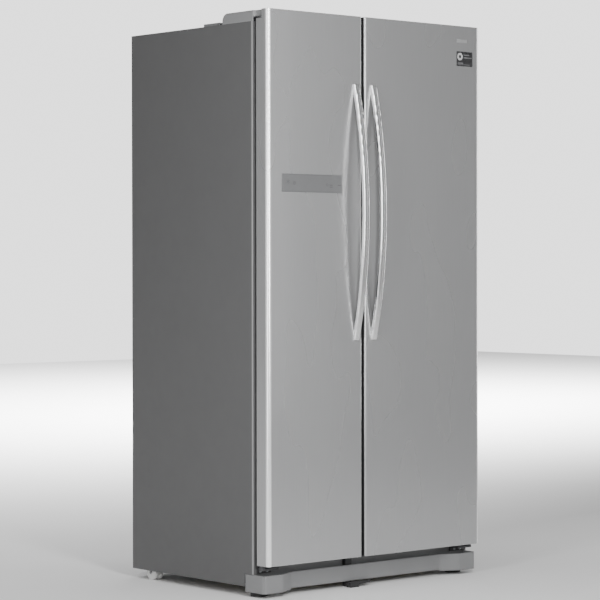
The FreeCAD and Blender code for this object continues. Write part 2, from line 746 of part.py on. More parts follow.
def bow_handle(name, middle):
    """A bar bent to a long shallow arc, flat-cut at both ends, with a centre groove."""
    radius = "((handle_tall * handle_tall / 4 + handle_bow * handle_bow) / (2 * handle_bow))"
    face = "door_front - handle_stand"
    body = body_at(f"{name}_bar", middle, f"{face} + {radius}", "handle_low + handle_tall / 2")
    half, groove, edge_radius = "handle_wide / 2", 1.6, 4
    inner = f"-({radius} - handle_deep)"
    points = [
        (f"-({half})", inner), (f"-({half})", f"-{radius}"), (-groove, f"-{radius}"),
        (-groove + 0.5, f"-{radius} + 1"), (groove - 0.5, f"-{radius} + 1"),
        (groove, f"-{radius}"), (half, f"-{radius}"), (half, inner),
    ]
    sketch = outline(body, "XY_Plane", points)
    feature = body.newObject("PartDesign::Revolution", f"{name}_bend")
    feature.Profile = sketch
    feature.ReferenceAxis = (sketch, ["H_Axis"])
    feature.Midplane = True
    half_turn = math.degrees(math.asin(number("handle_tall / 2") / number(radius)))
    feature.Angle = 2 * half_turn + 1
    doc.recompute()
    wide = number(half)
    rounded(body, edge_radius, lambda b: b.XLength < 0.01 and is_near(abs(b.XMin), wide)
            and b.ZLength > 100)
    room = box(f"{name}_room", (f"{middle} - handle_wide", f"{middle} + handle_wide"),
               (f"{face} - 5", "door_front"), ("handle_low", "handle_low + handle_tall"))
    bar = doc.addObject("Part::Common", f"{name}_trimmed")
    bar.Base = body
    bar.Tool = room
    return keep(bar, name)


def control_panel():
    """A shallow display housing on the freezer door."""
    body = body_at("control_housing", -398, "door_front", 1236.5)
    pad(body, outline(body, "XZ_Plane", rectangle((0, 245), (0, 55))), 1.2)
    rounded(body, 3, lambda b: b.XLength < 0.01 and b.ZLength < 0.01)
    return keep(body, "control_panel")


FREEZER_BINS = ((200, 110), (430, 110), (660, 95), (890, 95), (1330, 95), (1530, 95))
FRIDGE_BINS = ((200, 120), (450, 120), (700, 110), (940, 95), (1180, 95))


def door_bins(name, door, heights, *others):
    """Open bins that hang between the two uprights of the door's rim."""
    x = span(from_outer(door, "dyke_inset_outer + dyke_wide + 0.5"),
             from_inner(door, "dyke_inset_inner + dyke_wide + 0.5"))
    trays = [tray(f"{name}_{n}", x, (f"{DOOR_BACK} + 1", "bin_back"), (low, low + tall),
                  "bin_wall", "drawer_round") for n, (low, tall) in enumerate(heights)]
    return keep(group(f"{name}_set", *trays, *others), name)


DAIRY_PIN = 2.5
DAIRY_PIN_Y = "bin_back - 14"
DAIRY_PIN_Z = 1581
DAIRY_WALL = 3


def dairy_span():
    return span(from_outer("fridge", "dyke_inset_outer + dyke_wide + 0.5"),
                from_inner("fridge", "dyke_inset_inner + dyke_wide + 0.5"))


def dairy_box():
    """The fixed part of the lidded box on the fridge door, as five plates."""
    x, wall = dairy_span(), DAIRY_WALL
    y = (f"{DOOR_BACK} + 1", "bin_back - 8")
    z = (1450, 1590)
    between = (f"{x[0]} + {wall}", f"{x[1]} - {wall}")
    behind = (f"{y[0]} + {wall}", y[1])
    plates = [box("dairy_rear", x, (y[0], behind[0]), z),
              box("dairy_floor", between, behind, (z[0], z[0] + wall)),
              box("dairy_roof", between, behind, (z[1] - wall, z[1]))]
    for side, across in {"left": (x[0], between[0]), "right": (between[1], x[1])}.items():
        cheek = box(f"dairy_cheek_{side}", across, behind, z)
        bore = rod(f"dairy_bore_{side}", "x", (f"{across[0]} - 1", DAIRY_PIN_Y, DAIRY_PIN_Z),
                   f"{DAIRY_PIN} + pin_clearance", wall + 2)
        plates.append(cut(f"dairy_pierced_{side}", cheek, bore))
    return plates


def dairy_flap():
    """The dairy box's lid, hung on two stub pins."""
    x = dairy_span()
    inside = (f"{x[0]} + {DAIRY_WALL} + 0.5", f"{x[1]} - {DAIRY_WALL} - 0.5")
    leaf = box("dairy_leaf", inside, ("bin_back - 15.5", "bin_back - 12.5"), (1456, 1580))
    roll = rod("dairy_roll", "x", (inside[0], DAIRY_PIN_Y, DAIRY_PIN_Z), 4,
               f"({inside[1]}) - ({inside[0]})")
    pins = rod("dairy_pins", "x", (f"{x[0]} + 0.4", DAIRY_PIN_Y, DAIRY_PIN_Z), DAIRY_PIN,
               f"({x[1]}) - ({x[0]}) - 0.8")
    pull = box("dairy_pull", (f"({mid(*inside)}) - 40", f"({mid(*inside)}) + 40"),
               ("bin_back - 12.5", "bin_back - 4"), (1458, 1463))
    return keep(join("dairy_lid", leaf, roll, pins, pull), "dairy_flap")


# ---------------------------------------------------------------- interior

FREEZER_SHELVES = (620, 830, 1040, 1250)
FRIDGE_SHELVES = (580, 800, 1010, 1220, 1430)
COMPARTMENTS = (
    ("freezer", ("freezer_left", "freezer_right"), FREEZER_SHELVES),
    ("fridge", ("fridge_left", "fridge_right"), FRIDGE_SHELVES),
)
TRIM_DEEP = 8
UPPER_DRAWER_LOW = 392


def shelf_glass():
    plates = [box(f"{room}_glass_{height}", (f"{x[0]} + 1", f"{x[1]} - 1"),
                  ("shelf_front", f"{room}_shelf_back"), (height, f"{height} + glass_thick"))
              for room, x, heights in COMPARTMENTS for height in heights]
    return keep(group("glass_plates", *plates), "shelf_glass")


def shelf_trims():
    """A moulded edge along the front of each glass shelf."""
    edges = []
    for room, x, heights in COMPARTMENTS:
        for height in heights:
            edges.append(box(f"{room}_trim_{height}", (f"{x[0]} + 1", f"{x[1]} - 1"),
                             (f"shelf_front - {TRIM_DEEP}", "shelf_front"),
                             (height - 8, height + 8)))
    return keep(group("trim_edges", *edges), "shelf_trims")


def drawer(name, room_x, z, back):
    """A sliding bin with a pull lip along its front edge."""
    slack = 5
    x = (f"{room_x[0]} + {slack}", f"{room_x[1]} - {slack}")
    bin_body = tray(f"{name}_bin", x, ("drawer_front", back), z, "drawer_wall", "drawer_round")
    lip = box(f"{name}_lip", (f"{x[0]} + 30", f"{x[1]} - 30"),
              ("drawer_front - 14", "drawer_front + 1"), (z[1] - 4, z[1]))
    turn_down = box(f"{name}_turn_down", (f"{x[0]} + 30", f"{x[1]} - 30"),
                    ("drawer_front - 14", "drawer_front - 11"), (z[1] - 24, z[1]))
    return keep(join(f"{name}_moulding", bin_body, lip, turn_down), name)


ICE_X = (-370, -125)
ICE_AXIS_Y, ICE_AXIS_Z = 60, 1520
ICE_PIN = 4


def ice_maker_frame():
    """The ice maker's housing: a roof, a gear case on the left and an end bearing."""
    y, z = (-20, 140), (1470, 1580)
    roof = box("ice_roof", ICE_X, y, (z[1] - 5, z[1]))
    case = box("ice_gear_case", (ICE_X[0], ICE_X[0] + 35), (0, 120), (z[0] + 5, z[1] - 5))
    cheek = box("ice_cheek", (ICE_X[1] - 6, ICE_X[1]), (10, 110), (z[0] + 10, z[1] - 5))
    bores = [rod("ice_bore_left", "x", (ICE_X[0] + 15, ICE_AXIS_Y, ICE_AXIS_Z),
                 f"{ICE_PIN} + pin_clearance", 25),
             rod("ice_bore_right", "x", (ICE_X[1] - 8, ICE_AXIS_Y, ICE_AXIS_Z),
                 f"{ICE_PIN} + pin_clearance", 10)]
    hanger = box("ice_hanger", (ICE_X[0] + 40, ICE_X[1] - 40), (110, "inner_back"),
                 (z[1], z[1] + 6))
    frame = cut("ice_frame", join("ice_frame_parts", roof, case, cheek, hanger), *bores)
    return keep(frame, "ice_maker_frame")


def ice_tray():
    """A twisting tray of two rows of pockets, on two stub pins."""
    x = (ICE_X[0] + 40, ICE_X[1] - 10)
    y, z = (ICE_AXIS_Y - 45, ICE_AXIS_Y + 45), (ICE_AXIS_Z - 22, ICE_AXIS_Z + 8)
    block = box("ice_block", x, y, z)
    pockets = []
    columns, rows, wall = 6, 2, 3
    pitch_x = (x[1] - x[0] - wall) / columns
    pitch_y = (y[1] - y[0] - wall) / rows
    for column in range(columns):
        for line in range(rows):
            low_x = x[0] + wall + column * pitch_x
            low_y = y[0] + wall + line * pitch_y
            pockets.append(box(f"ice_pocket_{column}_{line}", (low_x, low_x + pitch_x - wall),
                               (low_y, low_y + pitch_y - wall), (z[0] + wall, z[1] + 1)))
    mould = cut("ice_mould", block, *pockets)
    left = rod("ice_pin_left", "x", (ICE_X[0] + 20, ICE_AXIS_Y, ICE_AXIS_Z), ICE_PIN,
               x[0] - ICE_X[0] - 20 + 1)
    right = rod("ice_pin_right", "x", (x[1] - 1, ICE_AXIS_Y, ICE_AXIS_Z), ICE_PIN, 9)
    return keep(join("ice_tray_moulding", mould, left, right), "ice_tray")


PANEL_Y = (232, 235)
EVAPORATOR_Z = (420, 700)
FAN_Z, FAN_X = 860, -246
FAN_ROUND = 62


def freezer_duct_panel():
    """The freezer's rear cover, with air slots and a round mouth for the fan."""
    x = ("freezer_left + 1", "freezer_right - 1")
    plate = box("duct_plate", x, PANEL_Y, (360, 1400))
    mouth = rod("duct_mouth", "y", (FAN_X, PANEL_Y[0] - 1, FAN_Z), FAN_ROUND - 8, 5)
    slots = [box(f"duct_slot_{n}_{c}", (centre - 45, centre + 45),
                 (PANEL_Y[0] - 1, PANEL_Y[1] + 1), (low, low + 8))
             for n, low in enumerate((400, 420, 440, 1100, 1120, 1300, 1320))
             for c, centre in enumerate((-310, -183))]
    return keep(cut("duct_pressing", plate, mouth, *slots), "freezer_duct_panel")


def evaporator():
    """A finned tube coil behind the freezer's rear cover."""
    x = (-380, -115)
    fins = [box(f"fin_{n}", (x[0] + 12 + n * 12, x[0] + 12.8 + n * 12), (240, 298), EVAPORATOR_Z)
            for n in range(21)]
    tubes = [rod(f"coil_tube_{n}", "x", (x[0], y, EVAPORATOR_Z[0] + 25 + 46 * n), 4.5,
                 x[1] - x[0]) for n, y in enumerate((254, 284) * 3)]
    return keep(join("evaporator_coil", *fins, *tubes), "evaporator")


def fan_blade(name, axis, hub, blade_round, hub_round, deep, bore):
    """Five flat blades set at a slant on a hub with a bore for the motor's shaft."""
    tilt = 28
    centre = FreeCAD.Vector(*hub)
    turn = TURNS[axis]
    rotor = Part.makeCylinder(hub_round, deep)
    for n in range(5):
        leaf = Part.makeBox(blade_round - hub_round + 2, deep * 1.5, 1.6,
                            FreeCAD.Vector(hub_round - 2, -deep * 0.75, -0.8))
        leaf.rotate(FreeCAD.Vector(), FreeCAD.Vector(1, 0, 0), tilt)
        leaf.translate(FreeCAD.Vector(0, 0, deep / 2))
        leaf.rotate(FreeCAD.Vector(), FreeCAD.Vector(0, 0, 1), 72 * n)
        rotor = rotor.fuse(leaf)
    rotor = rotor.common(Part.makeCylinder(blade_round, deep * 2, FreeCAD.Vector(0, 0, -deep / 2)))
    rotor = rotor.cut(Part.makeCylinder(bore, deep, FreeCAD.Vector(0, 0, 2)))
    item = doc.addObject("Part::Feature", f"{name}_moulding")
    item.Shape = rotor.removeSplitter()
    item.Placement = FreeCAD.Placement(centre, turn)
    return keep(item, name)


SHAFT = 2.5
COMPRESSOR_X, COMPRESSOR_Y = 250, 262
COOLER_X, COOLER_Z = 90, 170


def evaporator_fan_motor():
    """A small can motor on a bracket behind the fan."""
    can = rod("evap_motor_can", "y", (FAN_X, 266, FAN_Z), 24, 26)
    bracket = box("evap_motor_bracket", (FAN_X - 80, FAN_X + 80), (292, 302),
                  (FAN_Z - 12, FAN_Z + 12))
    shaft = rod("evap_motor_shaft", "y", (FAN_X, 250, FAN_Z), SHAFT, 18)
    return keep(join("evap_motor", can, bracket, shaft), "evaporator_fan_motor")


def fridge_duct_panel():
    """A raised column up the fridge's rear wall, with outlets for cold air."""
    x, y, z = (126, 246), (294, "inner_back"), (600, 1640)
    column = box("column_block", x, y, z)
    outlets = [box(f"column_outlet_{n}", (x[0] + 20, x[1] - 20), (y[0] - 1, y[0] + 4),
                   (low, low + 14)) for n, low in enumerate((720, 930, 1140, 1350, 1560))]
    return keep(cut("column_moulding", column, *outlets), "fridge_duct_panel")


LENS_FRONT = -120


def lamp_covers():
    """Lamp lenses under both ceilings."""
    lenses = []
    for room, x, top in (("freezer", (-290, -203), "freezer_high"),
                         ("fridge", (120, 253), "fridge_high")):
        lens = doc.addObject("Part::Wedge", f"{room}_lens")
        wide, drop, inset, deep = x[1] - x[0], 16, 8, 90
        lens.Xmin, lens.Xmax, lens.Ymin, lens.Ymax = 0, wide, 0, drop
        lens.Zmin, lens.Zmax = 0, deep
        lens.X2min, lens.X2max, lens.Z2min, lens.Z2max = inset, wide - inset, inset, deep - inset
        lens.Placement = FreeCAD.Placement(FreeCAD.Vector(), FreeCAD.Rotation(
            FreeCAD.Vector(1, 0, 0), -90))
        for letter, formula in zip("xyz", (x[0], LENS_FRONT, top)):
            bind(lens, f"Placement.Base.{letter}", formula)
        lenses.append(lens)
    return keep(group("lamp_lenses", *lenses), "lamp_covers")


# ------------------------------------------------------------ machine space

def compressor():
    """A domed pot on four rubber feet, with two stub pipes."""
    body = body_at("compressor_pot", COMPRESSOR_X, COMPRESSOR_Y, 54)
    points = [(0, 0), (62, 0), (78, 22), (82, 60), (82, 62), (80, 100), (66, 136), (36, 152),
              (0, 156)]
    sketch = outline(body, "XZ_Plane", points)
    pot = body.newObject("PartDesign::Revolution", "compressor_turned")
    pot.Profile = sketch
    pot.ReferenceAxis = (sketch, ["V_Axis"])
    pot.Angle = 360
    doc.recompute()
    plate = box("compressor_plate", (COMPRESSOR_X - 105, COMPRESSOR_X + 105),
                (COMPRESSOR_Y - 60, COMPRESSOR_Y + 60), (48, 56))
    pads = [rod(f"compressor_pad_{n}", "z", (COMPRESSOR_X + dx, COMPRESSOR_Y + dy, TRAY_TOP),
                11, 12)
            for n, (dx, dy) in enumerate(((-88, -44), (88, -44), (-88, 44), (88, 44)))]
    stub_round, stub_low, stub_tall = 4, 150, 96
    pipes = [rod(f"compressor_pipe_{n}", "z",
                 (COMPRESSOR_X - 40 + 30 * n, COMPRESSOR_Y - 52, stub_low), stub_round, stub_tall)
             for n in range(3)]
    return keep(join("compressor_whole", body, plate, *pads, *pipes), "compressor")


COIL_X, COIL_Y, COIL_Z = (-210, 40), (190, 345), (66, 272)


def condenser_coil():
    """Banks of straight tube joined by wire fins."""
    tubes = [rod(f"condenser_tube_{row}_{line}", "y",
                 (COIL_X[0] + 20 + 42 * row, COIL_Y[0], COIL_Z[0] + 20 + 34 * line), 3.5,
                 COIL_Y[1] - COIL_Y[0]) for row in range(6) for line in range(6)]
    ends = [box(f"condenser_end_{n}", COIL_X, (y, y + 2), COIL_Z)
            for n, y in enumerate((COIL_Y[0], COIL_Y[1] - 2))]
    feet = [box(f"condenser_foot_{n}", (x, x + 16), COIL_Y, (TRAY_TOP, COIL_Z[0]))
            for n, x in enumerate((COIL_X[0], COIL_X[1] - 16))]
    return keep(join("condenser_bank", *tubes, *ends, *feet), "condenser_coil")


def condenser_fan_motor():
    """A can motor on a leg, facing the condenser."""
    can = rod("cooler_motor_can", "x", (COOLER_X + 14, COMPRESSOR_Y, COOLER_Z), 26, 34)
    shaft = rod("cooler_motor_shaft", "x", (COOLER_X - 6, COMPRESSOR_Y, COOLER_Z), SHAFT, 22)
    leg = box("cooler_motor_leg", (COOLER_X + 20, COOLER_X + 32),
              (COMPRESSOR_Y - 12, COMPRESSOR_Y + 12), (TRAY_TOP, COOLER_Z - 20))
    return keep(join("cooler_motor", can, shaft, leg), "condenser_fan_motor")


def rear_cover():
    """The vented board over the machine space."""
    x = (f"-({HALF} - 16)", f"{HALF} - 16")
    z = (40, MACHINE_ROOF)
    board = box("rear_board", x, (FOAM_BACK, "cab_back - sheet_thick"), z)
    rows, slot_tall, pitch = 7, 7, 18
    slots = [box(f"rear_slot_{row}_{bank}", (left, left + 200),
                 (f"{FOAM_BACK} - 1", "cab_back"), (90 + pitch * row, 90 + pitch * row + slot_tall))
             for row in range(rows) for bank, left in enumerate((-210, 30))]
    return keep(cut("rear_pressing", board, *slots), "rear_cover")


def drain_pan():
    """An open tray that catches defrost water."""
    return keep(tray("drain_tray", (-380, -222), (190, 345), (38, 78), "2.5", "10"), "drain_pan")


def power_inlet():
    """The recessed inlet for a mains lead, low on the back."""
    x, z = (-400, -350), (110, 145)
    block = box("inlet_block", x, (f"{FOAM_BACK} - 30", FOAM_BACK), z)
    mouth = box("inlet_mouth", (x[0] + 9, x[1] - 9), (f"{FOAM_BACK} - 20", f"{FOAM_BACK} + 1"),
                (z[0] + 6, z[1] - 6))
    blades = [box(f"inlet_blade_{n}", (x[0] + 17 + 7 * n, x[0] + 19 + 7 * n),
                  (f"{FOAM_BACK} - 20", f"{FOAM_BACK} - 4"), (z[0] + 14, z[0] + 20))
              for n in range(3)]
    return keep(join("inlet_parts", cut("inlet_body", block, mouth), *blades), "power_inlet")


# ---------------------------------------------------------------- assembly

for side_name, side_sign in SIDES.items():
    side_panel(f"side_panel_{side_name}", side_sign)
top_panel()
back_panel()
insulation_panels()
for room_name, room_span, room_shelves in COMPARTMENTS:
    liner(f"{room_name}_liner", room_span, f"{room_name}_high", f"{room_name}_shelf_back",
          room_shelves, (UPPER_DRAWER_LOW,))
front_frame()
base_frame()
kick_plate()
centre_foot()
for side_name, side_sign in SIDES.items():
    levelling_foot(f"levelling_foot_{side_name}", side_sign)
    rear_roller(f"rear_roller_{side_name}", side_sign)
    top_hinge(f"top_hinge_{side_name}", side_sign)
    bottom_hinge(f"bottom_hinge_{side_name}", side_sign)
    hinge_cover(f"hinge_cover_{side_name}", side_sign)
harness_cover()
for door_name in DOORS:
    door_skin(f"{door_name}_door_skin", door_name)
    door_caps(f"{door_name}_door_caps", door_name)
    door_core(f"{door_name}_door_core", door_name)
    door_liner(f"{door_name}_door_liner", door_name)
    door_gasket(f"{door_name}_door_gasket", door_name)
    bow_handle(f"{door_name}_handle", DOORS[door_name]["handle"])
control_panel()
door_bins("freezer_door_bins", "freezer", FREEZER_BINS)
door_bins("fridge_door_bins", "fridge", FRIDGE_BINS, *dairy_box())
dairy_flap()
shelf_glass()
shelf_trims()
for room_name, room_span, _ in COMPARTMENTS:
    piece = "drawer" if room_name == "freezer" else "crisper"
    drawer(f"{room_name}_{piece}_lower", room_span, (172, 372), "step_front - 6")
    drawer(f"{room_name}_{piece}_upper", room_span, (UPPER_DRAWER_LOW, 560),
           f"{room_name}_shelf_back - 4")
drawer("ice_bin", ("freezer_left + 6", "freezer_right - 6"), (1256, 1400),
       "freezer_shelf_back - 4")
ice_maker_frame()
ice_tray()
freezer_duct_panel()
evaporator()
evaporator_fan_motor()
fan_blade("evaporator_fan_blade", "y", (FAN_X, 240, FAN_Z), 50, 12, 14, SHAFT + 0.05)
fridge_duct_panel()
lamp_covers()
compressor()
condenser_coil()
condenser_fan_motor()
fan_blade("condenser_fan_blade", "x", (COOLER_X - 10, COMPRESSOR_Y, COOLER_Z), 78, 16, 16,
          SHAFT + 0.05)
rear_cover()
drain_pan()
power_inlet()

doc.recompute()

# -------------------------------------------------------------------- files

for thing in doc.Objects:
    if "Invalid" in thing.State or "Error" in thing.State:
        raise ValueError(f"{thing.Label} could not be built: {thing.State}")
for node in NODES:
    if node.Shape.isNull() or not node.Shape.isValid() or not node.Shape.Solids:
        raise ValueError(f"{node.Label} has no good shape")

os.makedirs("parts", exist_ok=True)
for node in NODES:
    node.Shape.exportStep(f"parts/{node.Label}.step")
print(len(NODES), "sub-parts written")
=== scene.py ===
import json
import math

import bmesh
import bpy
from mathutils import Matrix, Vector


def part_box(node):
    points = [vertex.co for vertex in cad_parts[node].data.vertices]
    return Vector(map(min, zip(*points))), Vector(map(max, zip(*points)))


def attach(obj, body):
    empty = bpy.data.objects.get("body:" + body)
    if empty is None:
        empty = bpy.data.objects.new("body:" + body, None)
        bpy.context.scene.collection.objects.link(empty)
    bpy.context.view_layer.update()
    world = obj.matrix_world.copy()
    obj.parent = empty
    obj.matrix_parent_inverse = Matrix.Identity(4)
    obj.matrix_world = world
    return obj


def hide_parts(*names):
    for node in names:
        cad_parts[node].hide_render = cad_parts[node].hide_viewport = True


# The looks of a side by side refrigerator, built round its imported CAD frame.
# Metres, in the frame's own axes: X right, Y back, Z up, doors facing -Y.

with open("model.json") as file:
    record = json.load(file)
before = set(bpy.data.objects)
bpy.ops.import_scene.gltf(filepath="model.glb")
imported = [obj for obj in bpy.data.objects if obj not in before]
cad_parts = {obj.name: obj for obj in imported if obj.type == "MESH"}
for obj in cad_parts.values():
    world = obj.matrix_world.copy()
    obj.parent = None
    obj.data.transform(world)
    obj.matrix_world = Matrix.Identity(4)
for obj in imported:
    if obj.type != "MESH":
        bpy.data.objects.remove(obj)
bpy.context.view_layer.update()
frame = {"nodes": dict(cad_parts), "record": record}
NODES = frame["nodes"]


# ------------------------------------------------------------ shader helpers

BEVEL_SAMPLES = 6
NOISE_ROUGHNESS = 0.55
SMOOTHEST = 0.02


class Shader:
    """A node material with one Principled surface and a few short ways to drive it."""

    def __init__(self, name, colour, roughness, metallic=0.0, **sockets):
        self.material = bpy.data.materials.new(name)
        self.material.use_nodes = True
        self.tree = self.material.node_tree
        self.surface = self.tree.nodes["Principled BSDF"]
        self.surface.inputs["Base Color"].default_value = (*colour, 1.0)
        self.surface.inputs["Roughness"].default_value = roughness
        self.surface.inputs["Metallic"].default_value = metallic
        for socket, value in sockets.items():
            self.surface.inputs[socket.replace("_", " ")].default_value = value
        self.colour = colour
        self.roughness = roughness
        self.height = None

    def soften(self, radius):
        """Catch the light along sharp edges, as a small rounding does."""
        bevel = self.node("ShaderNodeBevel", samples=BEVEL_SAMPLES)
        bevel.inputs["Radius"].default_value = radius
        self.height = bevel.outputs["Normal"]
        self.link(self.height, self.surface.inputs["Normal"])

    def node(self, kind, **values):
        made = self.tree.nodes.new(kind)
        for key, value in values.items():
            setattr(made, key, value)
        return made

    def link(self, start, end):
        self.tree.links.new(start, end)

    def place(self, stretch=(1.0, 1.0, 1.0)):
        """Object coordinates in metres, stretched."""
        coordinates = self.node("ShaderNodeTexCoord")
        mapping = self.node("ShaderNodeMapping")
        mapping.inputs["Scale"].default_value = stretch
        self.link(coordinates.outputs["Object"], mapping.inputs["Vector"])
        return mapping.outputs["Vector"]

    def noise(self, scale, detail, stretch=(1.0, 1.0, 1.0)):
        """Cloudy noise, as a factor."""
        made = self.node("ShaderNodeTexNoise")
        made.inputs["Scale"].default_value = scale
        made.inputs["Detail"].default_value = detail
        made.inputs["Roughness"].default_value = NOISE_ROUGHNESS
        self.link(self.place(stretch), made.inputs["Vector"])
        return made.outputs["Fac"]

    def cells(self, scale):
        """Distance from the middle of each of many cells, as a factor."""
        made = self.node("ShaderNodeTexVoronoi")
        made.inputs["Scale"].default_value = scale
        self.link(self.place(), made.inputs["Vector"])
        return made.outputs["Distance"]

    def spread(self, factor, low, high, start=0.3, end=0.7):
        """A factor mapped to a range of values."""
        made = self.node("ShaderNodeMapRange")
        made.inputs["From Min"].default_value = start
        made.inputs["From Max"].default_value = end
        made.inputs["To Min"].default_value = low
        made.inputs["To Max"].default_value = high
        self.link(factor, made.inputs["Value"])
        return made.outputs["Result"]

    def along(self, axis):
        """One of a point's own coordinates, in metres."""
        split = self.node("ShaderNodeSeparateXYZ")
        self.link(self.place(), split.inputs["Vector"])
        return split.outputs[axis]

    def apart(self, value, middle):
        """How far a value is from a middle one."""
        across = self.node("ShaderNodeMath", operation="SUBTRACT")
        across.inputs[1].default_value = middle
        self.link(value, across.inputs[0])
        away = self.node("ShaderNodeMath", operation="ABSOLUTE")
        self.link(across.outputs[0], away.inputs[0])
        return away.outputs[0]

    def both(self, first, second):
        """The product of two factors."""
        made = self.node("ShaderNodeMath", operation="MULTIPLY")
        self.link(first, made.inputs[0])
        self.link(second, made.inputs[1])
        return made.outputs[0]

    def blend(self, factor, first, second):
        """Two colours mixed by a factor."""
        made = self.node("ShaderNodeMix", data_type="RGBA")
        for socket, value in zip(made.inputs[6:8], (first, second)):
            if isinstance(value, tuple):
                socket.default_value = (*value, 1.0)
            else:
                self.link(value, socket)
        self.link(factor, made.inputs[0])
        return made.outputs[2]

    def tones(self, factor, amount):
        """The base colour, darker and lighter by an amount."""
        dark = tuple(channel * (1 - amount) for channel in self.colour)
        light = tuple(min(channel * (1 + amount), 1.0) for channel in self.colour)
        return self.blend(self.spread(factor, 0.0, 1.0), dark, light)

    def cover(self, colour):
        """Colour the surface."""
        self.link(colour, self.surface.inputs["Base Color"])

    def tint(self, factor, amount):
        """Colour the surface with its own tones."""
        self.cover(self.tones(factor, amount))

    def wear(self, factor, amount):
        """Roughness that varies by an amount either way."""
        low = max(self.roughness - amount, SMOOTHEST)
        high = min(self.roughness + amount, 1.0)
        self.link(self.spread(factor, low, high), self.surface.inputs["Roughness"])

    def relief(self, factor, depth, strength):
        """A bump of a depth in metres; several calls stack."""
        bump = self.node("ShaderNodeBump")
        bump.inputs["Strength"].default_value = strength
        bump.inputs["Distance"].default_value = depth
        self.link(factor, bump.inputs["Height"])
        if self.height:
            self.link(self.height, bump.inputs["Normal"])
        self.height = bump.outputs["Normal"]
        self.link(self.height, self.surface.inputs["Normal"])


# ----------------------------------------------------------------- materials

# painted highlight for the bend at each door's hinged edge
EDGE_HIGHLIGHT_COLOUR = (0.94, 0.945, 0.95)
# painted shade for the doors' faces in the gap between them
GAP_SHADE_COLOUR = (0.075, 0.076, 0.078)
# painted highlight for the cabinet's folded front edges
FOLD_HIGHLIGHT_COLOUR = (0.34, 0.342, 0.345)
# painted shade for the handles' faces towards the door
HANDLE_BACK_SHADE_COLOUR = (0.05, 0.05, 0.052)
PANEL_EDGE_COLOUR = (0.105, 0.107, 0.11)

# pairs of depths between which a band starts and ends, in from a face or an edge
# where the painted highlight round the doors' hinged edges starts and ends
EDGE_HIGHLIGHT_FROM_SIDE = (0.0135, 0.0115)
EDGE_HIGHLIGHT_FROM_FRONT = (0.0105, 0.0130)
# where the painted shade on the doors' faces in the gap starts and ends
GAP_SHADE_IN = (0.0012, 0.0022)
# where the painted highlight along the cabinet's front folds starts and ends
FOLD_HIGHLIGHT_START = (0.0003, 0.0006)
FOLD_HIGHLIGHT_END = (0.004, 0.0095)

# how far a handle face turns towards the door where its painted shade starts and where it is full
HANDLE_SHADE_FACING = (0.3, 0.6)
PANEL_PLAIN_SHARE = 0.86


def door_steel():
    """Brushed sheet under a clear coat: fine upright grain, a soft sheen and a painted highlight
    round each door's hinged edge.
    """
    m = Shader("door_steel", (0.43, 0.433, 0.437), 0.27, metallic=0.6,
               Coat_Weight=0.8, Coat_Roughness=0.06)
    m.soften(0.0012)
    grain = m.noise(60.0, 4.0, (14.0, 14.0, 0.12))
    plain = m.tones(grain, 0.03)

    # painted highlight: a paler band round the bend at each door's hinged edge, where the rounding
    # catches the light
    low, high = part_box("freezer_door_skin")
    edge = abs(low.x)
    side = m.spread(m.apart(m.along("X"), 0.0), 0.0, 1.0,
                    *(edge - depth for depth in EDGE_HIGHLIGHT_FROM_SIDE))
    front = m.spread(m.along("Y"), 1.0, 0.0,
                     *(low.y + depth for depth in EDGE_HIGHLIGHT_FROM_FRONT))
    with_edge_highlight = m.blend(m.both(side, front), plain, EDGE_HIGHLIGHT_COLOUR)

    # painted shade: dark colour on the faces that meet between the doors, where the gap lies in
    # shade
    middle = (high.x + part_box("fridge_door_skin")[0].x) / 2
    half_gap = middle - high.x
    gap_shade = m.spread(m.apart(m.along("X"), middle), 1.0, 0.0,
                      *(half_gap + depth for depth in GAP_SHADE_IN))
    m.cover(m.blend(gap_shade, with_edge_highlight, GAP_SHADE_COLOUR))

    m.wear(m.noise(6.0, 1.0, (1.0, 1.0, 0.4)), 0.012)
    m.relief(grain, 0.00001, 0.06)
    return m.material


def cabinet_enamel():
    """Baked enamel with a painted highlight: a paler line along the folded front edges, where the
    fold catches the light.
    """
    m = Shader("cabinet_paint", (0.098, 0.0985, 0.0995), 0.42)
    plain = m.tones(m.noise(9.0, 4.0), 0.02)
    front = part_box("side_panel_left")[0].y
    back = m.along("Y")
    # painted highlight: a paler line close behind the cabinet's front edge
    fold_highlight = m.both(m.spread(back, 1.0, 0.0, *(front + depth for depth in FOLD_HIGHLIGHT_END)),
                  m.spread(back, 0.0, 1.0, *(front + depth for depth in FOLD_HIGHLIGHT_START)))
    m.cover(m.blend(fold_highlight, plain, FOLD_HIGHLIGHT_COLOUR))
    m.wear(m.noise(30.0, 3.0), 0.05)
    m.relief(m.noise(420.0, 2.0), 0.00025, 0.35)
    return m.material


def painted(name, colour, roughness, peel=0.00025, coat=0.0):
    """Baked enamel with a fine orange-peel surface."""
    m = Shader(name, colour, roughness, Coat_Weight=coat, Coat_Roughness=0.2)
    m.soften(0.001)
    m.tint(m.noise(9.0, 4.0), 0.02)
    m.wear(m.noise(30.0, 3.0), 0.05)
    m.relief(m.noise(420.0, 2.0), peel, 0.35)
    return m.material


def moulded(name, colour, roughness, variation=0.05, edge=0.0012):
    """Moulded plastic with spark-eroded grain and slight flow marks."""
    m = Shader(name, colour, roughness)
    m.soften(edge)
    m.tint(m.noise(11.0, 4.0), variation)
    m.wear(m.noise(26.0, 3.0), 0.06)
    m.relief(m.cells(900.0), 0.00018, 0.3)
    return m.material


def sheet_plastic(name, colour, roughness):
    """Vacuum-formed sheet: glossy, faintly rippled."""
    m = Shader(name, colour, roughness, Coat_Weight=0.2, Coat_Roughness=0.15)
    m.tint(m.noise(7.0, 3.0), 0.02)
    m.wear(m.noise(18.0, 2.0), 0.05)
    m.relief(m.noise(12.0, 1.0), 0.0004, 0.06)
    return m.material


